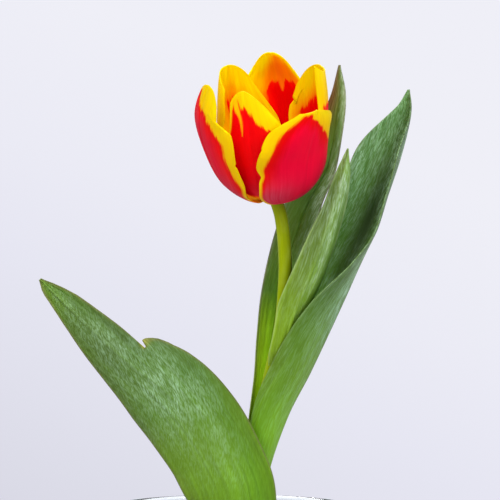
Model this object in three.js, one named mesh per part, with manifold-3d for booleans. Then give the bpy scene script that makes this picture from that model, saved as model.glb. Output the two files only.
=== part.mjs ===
// A cut tulip, red with yellow margins, standing in a plain clear glass cylinder vase of water.
// Millimetres, +Z up. The origin is the centre of the vase's underside, and -Y is the front.
import * as THREE from "three";
import { mergeVertices } from "three/addons/utils/BufferGeometryUtils.js";
import Module from "manifold-3d";

// ---- driving dimensions ------------------------------------------------------------------

const GAP = 0.3; // clearance between pieces that touch

const VASE = {
  radius: 50,
  height: 150,
  wall: 2.8,
  floor: 9, // thickness of glass under the water
  foot: 1.4, // radius of the outer foot edge
  heel: 5, // radius where the inside wall meets the floor
  sides: 48,
  arcSteps: 3,
};

const WATER_LEVEL = 70;

// Centre line of the stem, from the cut foot on the vase's floor up to the receptacle.
const STEM = {
  line: [
    [-13, 18, 10.5],
    [-4, -2, 72],
    [5, -24, 135],
    [11, -38, 183],
    [15, -44.5, 202.5],
    [19.8, -52, 225],
    [21.6, -55, 245],
    [21.4, -57, 258],
    [20, -59.4, 270],
    [17.7, -61.6, 277.5],
  ],
  footRadius: 3.1,
  neckRadius: 2.6,
  flare: 7, // length over which it widens into the receptacle
  sides: 12,
  steps: 34,
};

// The bloom's own frame: its origin is on the axis at the receptacle, +Z along the axis.
const BLOOM = {
  origin: [17.5, -62, 278.5],
  forward: 22, // degrees of tilt towards the front
  aside: 7, // degrees of lean to the left
};

const RECEPTACLE = {
  root: 2, // radius at its lower end, inside the stem
  depth: 3, // reach below the bloom's origin
  shoulder: 1.2, // depth at which it is full width
  radius: 3.85, // the outer petals stand against this
  seat: 0.85, // height of the step below the inner petals
  neck: 2.75, // the inner petals stand against this
  top: 2.1,
};

// Petals are patches of a surface turned round the bloom's axis. azimuth is 0 at the front and
// grows to the right. midrib lists [radius, height] from base to tip. left and right list the
// half width from base to tip, along the arc. fall is the share of length that each side loses
// from midrib to margin, by the power in roundness. pull moves a margin in to the axis. twist
// turns the midrib, in degrees. shoulder is a step in one margin.
const PETALS = {
  petal_outer_right: {
    azimuth: 37.3,
    midrib: [[4.2, 0.4], [12.8, 1.6], [20.2, 9.5], [23.2, 21], [28, 33.1], [30.3, 41.6]],
    left: [2.6, 9, 17.8, 20.4, 22.5, 20.6, 7],
    right: [2.6, 9, 15.5, 19.8, 21.7, 18.5, 11.4],
    fall: [0, 0.11],
    roundness: [3, 1.2],
    pullLeft: [0, 0, 0, 0, 0, -4.8, -2.3],
    pullRight: [0, 0, 0, 0, 0, -1.6, -1.6],
    twist: [0, 0, 0, 1.8, 4.3, 3.4],
  },
  petal_outer_left: {
    azimuth: -72,
    midrib: [[4.2, 0.4], [11.7, 1.6], [20.3, 9.5], [25.1, 22], [27.3, 37.5], [22.7, 52.5]],
    left: [2.6, 9, 16.5, 20.5, 20, 15.1, 9.3],
    right: [2.4, 5.5, 9.1, 15.4, 17.1, 19.1, 14.1],
    fall: [0.11, 0.09],
    roundness: [2.2, 2.2],
    twist: [0, 0, 0, 0, 1, 6],
    shoulder: { at: 0.915, length: 0.015, depth: 5.3 },
  },
  petal_outer_back: {
    azimuth: 166,
    midrib: [[4.2, 0.4], [14, 1.6], [20.5, 9.5], [24.9, 22], [26.3, 38], [21.3, 53]],
    left: [2.6, 9, 16.5, 20.5, 22, 19, 12],
    right: [2.6, 9, 16.5, 20.5, 22, 19, 9.7],
    fall: [0.25, 0.13],
    roundness: [1.8, 1.8],
  },
  petal_inner_front: {
    azimuth: -18,
    midrib: [[3.2, 1.6], [11, 3.6], [16.5, 10.5], [20.3, 22], [22.5, 37], [21.5, 52]],
    left: [1.6, 7, 12.5, 16, 14, 8.8, 6.5],
    right: [1.6, 7, 13.5, 17.5, 18.5, 17, 13],
    fall: [0.07, 0.2],
    roundness: [2, 1.5],
    twist: [0, 0, 0, 0, -1, -3],
  },
  petal_inner_right: {
    azimuth: 108,
    midrib: [[3.2, 1.6], [11, 3.6], [16.5, 10.5], [21.9, 22], [25.5, 36], [25.6, 49]],
    left: [1.6, 7, 13.5, 17, 17.7, 15.9, 17],
    right: [1.6, 6.5, 10.5, 13.5, 15.3, 18.4, 16.6],
    fall: [0, 0.17],
    roundness: [2.2, 2.5],
    pullLeft: [0, 0, 0, -0.8, -0.9, -3.8, -1.8],
    pullRight: [0, 0, -0.8, -1.8, -2.2, -2.9, -1.8],
  },
  petal_inner_left: {
    azimuth: -145,
    midrib: [[3.2, 1.6], [11, 3.6], [16.5, 10.5], [20.9, 22], [22.6, 36], [22.1, 50.7]],
    left: [1.6, 6.5, 10.5, 14, 18.9, 16.9, 10.7],
    right: [1.6, 7, 13.5, 17.5, 19.1, 14.2, 10.4],
    fall: [0.09, 0.09],
    roundness: [2, 2.3],
    pullRight: [0, 0, 0, -1, -1.3, -5.7, -6.3],
    twist: [0, 0, 0, 0, 5.4, 1.2],
  },
};
// Thickness runs from middle to margin. Below leastRadius the arc no longer tightens.
const PETAL = { rows: 16, columns: 10, middle: 0.95, margin: 0.7, leastRadius: 3 };

// A leaf follows its midrib from sheath to tip. Each station holds the midrib's place, the
// azimuth that the upper face looks to, and for the left and the right half the fold off the
// midrib, the further curl out to the margin, both in degrees, and the half width.
const LEAVES = {
  leaf_left: [
    [-2.6, -9.2, 80.5, 180, 0, 100, 8, 0, 100, 8],
    [-1.6, -19, 101, 180, 0, 60, 10.5, 0, 60, 10.5],
    [-0.8, -34, 129, 180, 2, 30, 15.5, 2, 30, 15.5],
    [0.4, -49.6, 155, 180, 3, 26, 18.8, 3, 26, 18.5],
    [-5.6, -56.6, 172, 178, 4, 24, 19.3, 4, 24, 19],
    [-15, -61.6, 188, 176, 4, 22, 19.3, 4, 22, 19.4],
    [-27, -65.5, 201.5, 175, 4, 20, 17.4, 4, 20, 17.6],
    [-40.5, -69, 212.5, 175, 5, 18, 11.4, 5, 18, 12.8],
    [-52.4, -71.5, 223, 175, 6, 14, 9.2, 6, 14, 9.2],
    [-63.5, -73, 234, 175, 6, 10, 5.4, 6, 10, 5.4],
    [-75, -74, 245.5, 175, 6, 6, 0.4, 6, 6, 0.4],
  ],
  leaf_right: [
    [7.35, -20.3, 123.2, -95, 0, 115, 8.9, 0, 115, 8.9],
    [11.6, -28.2, 147.5, -95, 0, 108, 10.4, 0, 108, 10.4],
    [15.2, -36.3, 168.5, -95, 4, 92, 13.5, 8, 100, 12.2],
    [22.6, -41, 190, -88, 6, 92, 16.5, 22, 95, 17.5],
    [31.8, -43.5, 208, -80, 7, 60, 20, 30, 75, 20.3],
    [42.5, -45, 231, -70, 30, 22, 17.5, 40, 35, 20.5],
    [50.6, -45, 249, -60, 36, 15, 19.5, 36, 16, 19],
    [57.7, -44, 264, -52, 42, 10, 20, 36, 8, 17],
    [63, -43, 279, -47, 45, 10, 19, 43, 8, 15],
    [68.5, -42, 295.5, -46, 45, 8, 17, 48, 8, 11],
    [72.4, -41, 312, -45, 45, 5, 7.5, 47, 5, 5],
    [72, -41, 322, -45, 45, 0, 0.4, 47, 0, 0.4],
  ],
  leaf_back: [
    [10.1, -32.1, 177, 0, 0, 114, 8.6, 0, 114, 8.6],
    [14.3, -35.3, 202, 0, 10, 50, 6.8, 16, 50, 6],
    [16.5, -33, 220, 2, 12, 28, 7.2, 30, 28, 4.8],
    [19.5, -30.5, 238.5, 4, 15, 18, 8.4, 28, 18, 6.2],
    [25.2, -29, 259, 6, 18, 14, 10, 28, 14, 9],
    [31.8, -27.5, 276.5, 8, 20, 12, 11, 35, 12, 9.5],
    [39, -26.5, 289.5, 10, 22, 10, 11.5, 42, 10, 8],
    [42.5, -26, 306, 12, 24, 6, 9.5, 48, 6, 6],
    [44.4, -25.5, 320, 12, 24, 3, 4.6, 50, 3, 3.2],
    [44.5, -25.5, 333, 12, 24, 0, 0.4, 50, 0, 0.4],
  ],
  leaf_small: [
    [20.2, -51.9, 214.5, -140, 0, 78, 5.6, 0, 78, 5.6],
    [23.2, -56.5, 225, -145, 10, 50, 6.2, 10, 50, 6.2],
    [26.7, -59.8, 235.5, -150, 14, 28, 7, 14, 28, 7.6],
    [32, -62.6, 248, -155, 18, 20, 7, 18, 20, 7.2],
    [36.7, -64, 261, -158, 20, 15, 6.4, 20, 15, 6.2],
    [41, -64.3, 274, -160, 22, 10, 5.2, 22, 10, 4.6],
    [44.5, -64, 287, -162, 22, 6, 3.5, 22, 6, 3],
    [46.5, -63.5, 297.3, -162, 20, 0, 0.3, 20, 0, 0.3],
  ],
};
const LEAF = { columns: 10, rowLength: 7.5, middle: 1.05, margin: 0.7, leastWidth: 0.25 };
// The tear in the left leaf's upper margin: a narrow slit, with the lower lobe standing proud.
// at, length and fade are shares of the leaf's length.
const TEAR = { at: 0.706, length: 0.0035, slit: 3.6, lobe: 3.2, fade: 0.09, clear: 0.01 };

const PISTIL = {
  seat: RECEPTACLE.top + GAP,
  foot: 2.3, // radius on the receptacle
  disc: 4.6, // radius of the ring that the filaments stand on
  discHeight: 5.2,
  discEdge: 1,
  ovary: 3.3,
  height: 24,
  waist: 0.6, // how far the ovary draws in below the stigma
  collar: 1.5, // height of each step about the waist
  sides: 12,
};
// Each stigma lobe is an ellipsoid that reaches out from the axis.
const STIGMA = { lobes: 3, reach: 4.4, width: 1.1, height: 1.3, drop: 1, turn: 0.4 };
const STAMEN = {
  count: 6,
  ring: 3.6, // radius of the circle that they stand on
  root: 1.5, // sunk into the disc
  lean: 14, // degrees outwards
  turn: 0.2,
  filament: 9,
  radius: 0.75,
  anther: 12,
  overlap: 1.5, // anther below the filament's end
  girth: 1.5,
  sides: 6,
};

// ---- colours -----------------------------------------------------------------------------

const FINISH = {
  glass: { color: 0xdfe8ea, roughness: 0.05, metalness: 0 },
  water: { color: 0xe8f0f2, roughness: 0.02, metalness: 0 },
  stem: { color: 0x9aab2a, roughness: 0.5, metalness: 0 },
  leaf: { color: 0x4f8a3c, roughness: 0.5, metalness: 0 },
  petal: { color: 0xd8112c, roughness: 0.42, metalness: 0 },
  pistil: { color: 0xc9c65a, roughness: 0.6, metalness: 0 },
};

// ---- small tools -------------------------------------------------------------------------

const wasm = await Module();
wasm.setup();

const degrees = THREE.MathUtils.degToRad;
const steps = (n) => Array.from({ length: n + 1 }, (_, i) => i / n);

// A smooth value through evenly spaced ones, at t from 0 to 1.
function smooth(values, t) {
  const last = values.length - 1;
  const x = THREE.MathUtils.clamp(t, 0, 1) * last;
  const i = Math.min(Math.floor(x), last - 1);
  const f = x - i;
  const b = values[i];
  const c = values[i + 1];
  const a = i > 0 ? values[i - 1] : 2 * b - c;
  const d = i + 2 <= last ? values[i + 2] : 2 * c - b;
  return b + 0.5 * f * (c - a + f * (2 * a - 5 * b + 4 * c - d + f * (3 * (b - c) + d - a)));
}

function toSolid(geometry) {
  const bare = geometry.clone();
  bare.deleteAttribute("normal");
  bare.deleteAttribute("uv");
  const merged = mergeVertices(bare, 1e-4);
  return new wasm.Manifold(
    new wasm.Mesh({
      numProp: 3,
      vertProperties: new Float32Array(merged.attributes.position.array),
      triVerts: new Uint32Array(merged.index.array),
    }),
  );
}

function toGeometry(solid) {
  const mesh = solid.getMesh();
  const geometry = new THREE.BufferGeometry();
  geometry.setAttribute("position", new THREE.BufferAttribute(mesh.vertProperties, 3));
  geometry.setIndex(new THREE.BufferAttribute(mesh.triVerts, 1));
  geometry.computeVertexNormals();
  return geometry;
}

// A turned solid about Z, from [radius, height] points that run up its outside.
function turned(profile, sides) {
  const points = profile.map(([r, z]) => new THREE.Vector2(r, z));
  return new THREE.LatheGeometry(points, sides).rotateX(Math.PI / 2);
}

// A thin closed blade either side of surface(row, column), both faces split alike.
function blade(rows, columns, surface, thickness) {
  const middle = rows.map((row) => columns.map((column) => surface(row, column)));
  const wide = columns.length;
  const high = rows.length;
  const place = (i, j, face) => (face * high + i) * wide + j;
  const position = new Float32Array(2 * high * wide * 3);
  for (let i = 0; i < high; i++) {
    for (let j = 0; j < wide; j++) {
      const along = middle[Math.min(i + 1, high - 1)][j].clone();
      along.sub(middle[Math.max(i - 1, 0)][j]);
      const across = middle[i][Math.min(j + 1, wide - 1)].clone();
      across.sub(middle[i][Math.max(j - 1, 0)]);
      const out = across.cross(along).setLength(thickness(rows[i], columns[j]) / 2);
      middle[i][j].clone().add(out).toArray(position, 3 * place(i, j, 0));
      middle[i][j].clone().sub(out).toArray(position, 3 * place(i, j, 1));
    }
  }
  const index = [];
  const quad = (a, b, c, d) => index.push(a, b, c, a, c, d);
  for (let i = 0; i + 1 < high; i++) {
    for (let j = 0; j + 1 < wide; j++) {
      quad(place(i, j, 0), place(i, j + 1, 0), place(i + 1, j + 1, 0), place(i + 1, j, 0));
      index.push(place(i, j, 1), place(i + 1, j + 1, 1), place(i, j + 1, 1));
      index.push(place(i, j, 1), place(i + 1, j, 1), place(i + 1, j + 1, 1));
    }
    quad(place(i, 0, 1), place(i, 0, 0), place(i + 1, 0, 0), place(i + 1, 0, 1));
    const j = wide - 1;
    quad(place(i, j, 0), place(i, j, 1), place(i + 1, j, 1), place(i + 1, j, 0));
  }
  for (let j = 0; j + 1 < wide; j++) {
    quad(place(0, j, 1), place(0, j + 1, 1), place(0, j + 1, 0), place(0, j, 0));
    const i = high - 1;
    quad(place(i, j, 0), place(i, j + 1, 0), place(i, j + 1, 1), place(i, j, 1));
  }
  const geometry = new THREE.BufferGeometry();
  geometry.setAttribute("position", new THREE.BufferAttribute(position, 3));
  geometry.setIndex(index);
  geometry.computeVertexNormals();
  return geometry;
}

// Bends a straight solid, standing on Z from 0 to the line's length, along the line.
function bent(geometry, line) {
  const length = line.getLength();
  const position = geometry.attributes.position;
  const point = new THREE.Vector3();
  for (let i = 0; i < position.count; i++) {
    point.fromBufferAttribute(position, i);
    const u = THREE.MathUtils.clamp(point.z / length, 0, 1);
    const along = line.getTangentAt(u);
    const right = new THREE.Vector3(0, 1, 0).cross(along).normalize();
    const back = along.clone().cross(right);
    const spare = point.z - u * length;
    const moved = line.getPointAt(u).addScaledVector(right, point.x);
    moved.addScaledVector(back, point.y).addScaledVector(along, spare);
    position.setXYZ(i, moved.x, moved.y, moved.z);
  }
  geometry.computeVertexNormals();
  return geometry;
}

const group = new THREE.Group();

function add(name, geometry, finish, parent = group) {
  const mesh = new THREE.Mesh(geometry, new THREE.MeshStandardMaterial(finish));
  mesh.name = name;
  parent.add(mesh);
  return mesh;
}

// ---- vase and water ----------------------------------------------------------------------

function vaseGeometry() {
  const { radius, height, wall, floor, foot, heel, sides, arcSteps } = VASE;
  const inside = radius - wall;
  const lip = wall / 2;
  const profile = [[0, 0]];
  for (const turn of steps(arcSteps)) {
    const a = (turn * Math.PI) / 2;
    profile.push([radius - foot + foot * Math.sin(a), foot - foot * Math.cos(a)]);
  }
  for (const turn of steps(arcSteps + 1)) {
    const a = turn * Math.PI;
    profile.push([radius - lip + lip * Math.cos(a), height - lip + lip * Math.sin(a)]);
  }
  for (const turn of steps(arcSteps)) {
    const a = (turn * Math.PI) / 2;
    profile.push([inside - heel + heel * Math.cos(a), floor + heel - heel * Math.sin(a)]);
  }
  profile.push([0, floor]);
  return turned(profile, sides);
}

function waterGeometry(hole) {
  const { heel } = VASE;
  const inside = VASE.radius - VASE.wall - GAP;
  const bottom = VASE.floor + GAP;
  const profile = [[0, bottom]];
  for (const turn of steps(VASE.arcSteps)) {
    const a = (turn * Math.PI) / 2;
    profile.push([inside - heel + heel * Math.sin(a), bottom + heel - heel * Math.cos(a)]);
  }
  profile.push([inside, WATER_LEVEL], [0, WATER_LEVEL]);
  return toGeometry(toSolid(turned(profile, VASE.sides)).subtract(toSolid(hole)));
}

// ---- stem --------------------------------------------------------------------------------

const stemLine = new THREE.CatmullRomCurve3(
  STEM.line.map((p) => new THREE.Vector3(...p)),
  false,
  "catmullrom",
  0.5,
);
const stemLength = stemLine.getLength();

function stemGeometry() {
  const { footRadius, neckRadius, flare, sides } = STEM;
  const profile = [[0, 0], [footRadius, 0]];
  const neck = stemLength - flare;
  for (const share of steps(STEM.steps).slice(1)) {
    const radius = THREE.MathUtils.lerp(footRadius, neckRadius, share * share);
    profile.push([radius, share * neck]);
  }
  for (const share of steps(3).slice(1)) {
    const radius = THREE.MathUtils.lerp(neckRadius, RECEPTACLE.radius - GAP, share * share);
    profile.push([radius, neck + share * flare]);
  }
  profile.push([0, stemLength]);
  return bent(turned(profile, sides), stemLine);
}

// The plain hole that the stem stands in, from below the water to above it.
function stemHole() {
  const radius = STEM.footRadius + 1.5 * GAP;
  const below = -2 * STEM.footRadius;
  const rings = steps(4).map((share) => [radius, THREE.MathUtils.lerp(below, 1.1 * WATER_LEVEL, share)]);
  return bent(turned([[0, below], ...rings, [0, 1.1 * WATER_LEVEL]], STEM.sides), stemLine);
}

// The receptacle stands square to the bloom's axis and is one piece with the stem.
function receptacleGeometry() {
  const { root, depth, shoulder, radius, seat, neck, top } = RECEPTACLE;
  const profile = [
    [0, -depth],
    [root, -depth],
    [radius, -shoulder],
    [radius, seat],
    [neck, seat],
    [neck, top],
    [0, top],
  ];
  return turned(profile, STEM.sides * 2);
}

// ---- leaves ------------------------------------------------------------------------------

const column = (stations, k) => stations.map((station) => station[k]);

function leafSurface(stations, tear) {
  const [x, y, z, facing] = [0, 1, 2, 3].map((k) => column(stations, k));
  const halves = [4, 7].map((k) => [0, 1, 2].map((n) => column(stations, k + n)));
  const at = (t) => new THREE.Vector3(smooth(x, t), smooth(y, t), smooth(z, t));
  return (t, u) => {
    const right = u > 0 ? 1 : 0;
    const [folds, curls, widths] = halves[right];
    const point = at(t);
    const along = at(Math.min(t + 1e-3, 1)).sub(at(Math.max(t - 1e-3, 0))).normalize();
    const azimuth = degrees(smooth(facing, t));
    const up = new THREE.Vector3(Math.sin(azimuth), -Math.cos(azimuth), 0);
    up.addScaledVector(along, -up.dot(along)).normalize();
    const side = along.clone().cross(up).multiplyScalar(right ? 1 : -1);
    let width = smooth(widths, t);
    if (tear && !right) {
      width += t < tear.at ? tear.lobe * Math.exp((t - tear.at) / tear.fade) : 0;
      width -= tear.slit * Math.exp(-(((t - tear.at) / tear.length) ** 2));
    }
    width = Math.max(width, LEAF.leastWidth);
    const fold = degrees(smooth(folds, t));
    const bend = degrees(smooth(curls, t)) * Math.abs(u);
    // Half of the section is an arc that leaves the midrib at the fold and turns by the bend.
    const chord = bend > 1e-4 ? Math.sin(bend / 2) / (bend / 2) : 1;
    const reach = Math.abs(u) * width * chord;
    point.addScaledVector(side, reach * Math.cos(fold + bend / 2));
    return point.addScaledVector(up, reach * Math.sin(fold + bend / 2));
  };
}

function leafRows(stations, tear) {
  const line = new THREE.CatmullRomCurve3(
    stations.map(([x, y, z]) => new THREE.Vector3(x, y, z)),
    false,
    "catmullrom",
    0.5,
  );
  let rows = steps(Math.round(line.getLength() / LEAF.rowLength));
  if (tear) {
    const near = [-2.2, -1.1, 0, 1.1, 2.2].map((k) => tear.at + k * tear.length);
    rows = rows.filter((t) => t < near[0] - tear.clear || t > near[4] + tear.clear).concat(near);
    rows.sort((a, b) => a - b);
  }
  return rows;
}

function leafGeometry(stations, tear) {
  const columns = steps(LEAF.columns).map((s) => 2 * s - 1);
  const thick = (t, u) => THREE.MathUtils.lerp(LEAF.middle, LEAF.margin, u * u);
  return blade(leafRows(stations, tear), columns, leafSurface(stations, tear), thick);
}

// ---- bloom -------------------------------------------------------------------------------

const bloom = new THREE.Group();
bloom.position.set(...BLOOM.origin);
bloom.rotation.set(degrees(BLOOM.forward), degrees(-BLOOM.aside), 0, "ZYX");
group.add(bloom);

function petalSurface(petal) {
  const none = [0, 0];
  const radii = petal.midrib.map(([r]) => r);
  const heights = petal.midrib.map(([, h]) => h);
  const { shoulder, twist = none, pullLeft = none, pullRight = none } = petal;
  return (s, t) => {
    const right = t > 0 ? 1 : 0;
    const across = Math.abs(t);
    const along = s * (1 - petal.fall[right] * across ** petal.roundness[right]);
    let width = smooth(right ? petal.right : petal.left, s);
    if (shoulder && right)
      width -= shoulder.depth / (1 + Math.exp((shoulder.at - s) / shoulder.length));
    const body = smooth(radii, along);
    const turn = (Math.sign(t) * across * width) / Math.max(body, PETAL.leastRadius);
    const angle = degrees(petal.azimuth + smooth(twist, along)) + turn;
    const radius = body + smooth(right ? pullRight : pullLeft, s) * across * across;
    return new THREE.Vector3(
      radius * Math.sin(angle),
      -radius * Math.cos(angle),
      smooth(heights, along),
    );
  };
}

function petalGeometry(petal) {
  const columns = steps(PETAL.columns).map((s) => 2 * s - 1);
  const thick = (s, t) => THREE.MathUtils.lerp(PETAL.middle, PETAL.margin, t * t);
  return blade(steps(PETAL.rows), columns, petalSurface(petal), thick);
}

// Ovary on a ring, with three stigma lobes, and six stamens rooted in the ring.
function ovaryGeometry() {
  const { seat, foot, disc, discHeight, discEdge, ovary, height, waist, collar, sides } = PISTIL;
  return turned(
    [
      [0, seat],
      [foot, seat],
      [disc, discHeight - discEdge],
      [disc, discHeight],
      [ovary, discHeight + collar],
      [ovary, height - 3 * collar],
      [ovary - waist, height - 2 * collar],
      [ovary, height - collar],
      [ovary - waist, height],
      [0, height],
    ],
    sides,
  );
}

function stamenGeometries() {
  const { root, lean, ring, filament, radius, anther, overlap, girth, sides } = STAMEN;
  const stalk = [[0, -root], [radius, -root], [radius, filament], [0, filament]];
  const low = filament - overlap;
  const head = [
    [0, low],
    [0.8 * girth, low + 0.06 * anther],
    [girth, low + 0.45 * anther],
    [0.75 * girth, low + 0.9 * anther],
    [0, low + anther],
  ];
  return [stalk, head].map((profile) =>
    turned(profile, sides).rotateY(degrees(lean)).translate(ring, 0, PISTIL.discHeight),
  );
}

function pistilGeometry() {
  let whole = toSolid(ovaryGeometry());
  const { lobes, reach, width, height, drop, turn } = STIGMA;
  for (let k = 0; k < lobes; k++) {
    const lobe = new THREE.SphereGeometry(1, 8, 6).scale(reach / 2, width, height);
    lobe.translate(reach / 2, 0, PISTIL.height - drop);
    whole = whole.add(toSolid(lobe.rotateZ((k / lobes) * 2 * Math.PI + turn)));
  }
  for (let k = 0; k < STAMEN.count; k++) {
    for (const piece of stamenGeometries()) {
      const angle = (k / STAMEN.count) * 2 * Math.PI + STAMEN.turn;
      whole = whole.add(toSolid(piece.rotateZ(angle)));
    }
  }
  return toGeometry(whole);
}

// ---- assembly ----------------------------------------------------------------------------

add("vase", vaseGeometry(), FINISH.glass);

add("water", waterGeometry(stemHole()), FINISH.water);

bloom.updateMatrixWorld(true);
const receptacle = receptacleGeometry().applyMatrix4(bloom.matrixWorld);
add("stem", toGeometry(toSolid(stemGeometry()).add(toSolid(receptacle))), FINISH.stem);

for (const [name, stations] of Object.entries(LEAVES)) {
  add(name, leafGeometry(stations, name === "leaf_left" && TEAR), FINISH.leaf);
}
for (const [name, petal] of Object.entries(PETALS)) {
  add(name, petalGeometry(petal), FINISH.petal, bloom);
}
add("pistil_and_stamens", pistilGeometry(), FINISH.pistil, bloom);

export default group;
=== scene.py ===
"""A cut tulip, red with yellow margins, standing in a plain clear glass cylinder vase of water.

Lengths in the tables are millimetres, in the part's own frame, and metres for the studio. Each piece
is brought to metres when it is finished.
"""

from functools import partial
from math import atan2, copysign, cos, exp, pi, radians, sin

import bmesh
import bpy
from mathutils import Matrix, Vector, noise


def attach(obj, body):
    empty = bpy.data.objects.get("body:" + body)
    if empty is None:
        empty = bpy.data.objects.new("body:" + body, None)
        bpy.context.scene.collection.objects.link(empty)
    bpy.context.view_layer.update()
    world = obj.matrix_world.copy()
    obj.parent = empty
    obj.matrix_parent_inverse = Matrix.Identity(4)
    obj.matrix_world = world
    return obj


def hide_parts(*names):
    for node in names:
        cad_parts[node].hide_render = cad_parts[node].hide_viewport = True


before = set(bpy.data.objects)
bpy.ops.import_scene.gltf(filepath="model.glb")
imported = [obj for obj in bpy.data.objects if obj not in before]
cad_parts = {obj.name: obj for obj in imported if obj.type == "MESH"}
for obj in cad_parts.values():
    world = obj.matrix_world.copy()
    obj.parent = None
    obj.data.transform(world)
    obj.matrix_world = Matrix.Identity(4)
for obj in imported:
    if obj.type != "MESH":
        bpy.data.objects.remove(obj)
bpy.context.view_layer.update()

MM = 0.001
# The share of a length over which a slope is measured, and a depth in mm that is outside any mark.
STEP = 1e-3
OUTSIDE = -3

# ---- the part's own shape ----

VASE = {"radius": 50, "height": 150, "wall": 2.8, "floor": 9, "foot": 1.4, "heel": 5, "sides": 128}
WATER = {"level": 70, "meniscus": 1.6, "into_glass": 0.1}

STEM = {
    "line": [
        (-13, 18, 10.5), (-4, -2, 72), (5, -24, 135), (11, -38, 183), (15, -44.5, 202.5), (19.8, -52, 225),
        (21.6, -55, 245), (21.4, -57, 258), (20, -59.4, 270), (17.7, -61.6, 277.5),
    ],
    "foot_radius": 3.1, "neck_radius": 2.6, "columns": 40, "rows": 300, "steps": 2000,
}
# The green cup under the bloom, as (radius, height).
RECEPTACLE = [
    (0, -3.2), (2, -3), (3.1, -2.1), (3.75, -1), (3.8, 0.3), (3.4, 0.85), (2.9, 0.95), (2.7, 1.3),
    (2.6, 1.9), (2.2, 2.1), (0, 2.15),
]

BLOOM = {"origin": (17.5, -62, 278.5), "forward": 22, "aside": 7}
BLOOM_FRAME = (
    Matrix.Translation(BLOOM["origin"])
    @ Matrix.Rotation(radians(-BLOOM["aside"]), 4, "Y")
    @ Matrix.Rotation(radians(BLOOM["forward"]), 4, "X")
)

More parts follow.
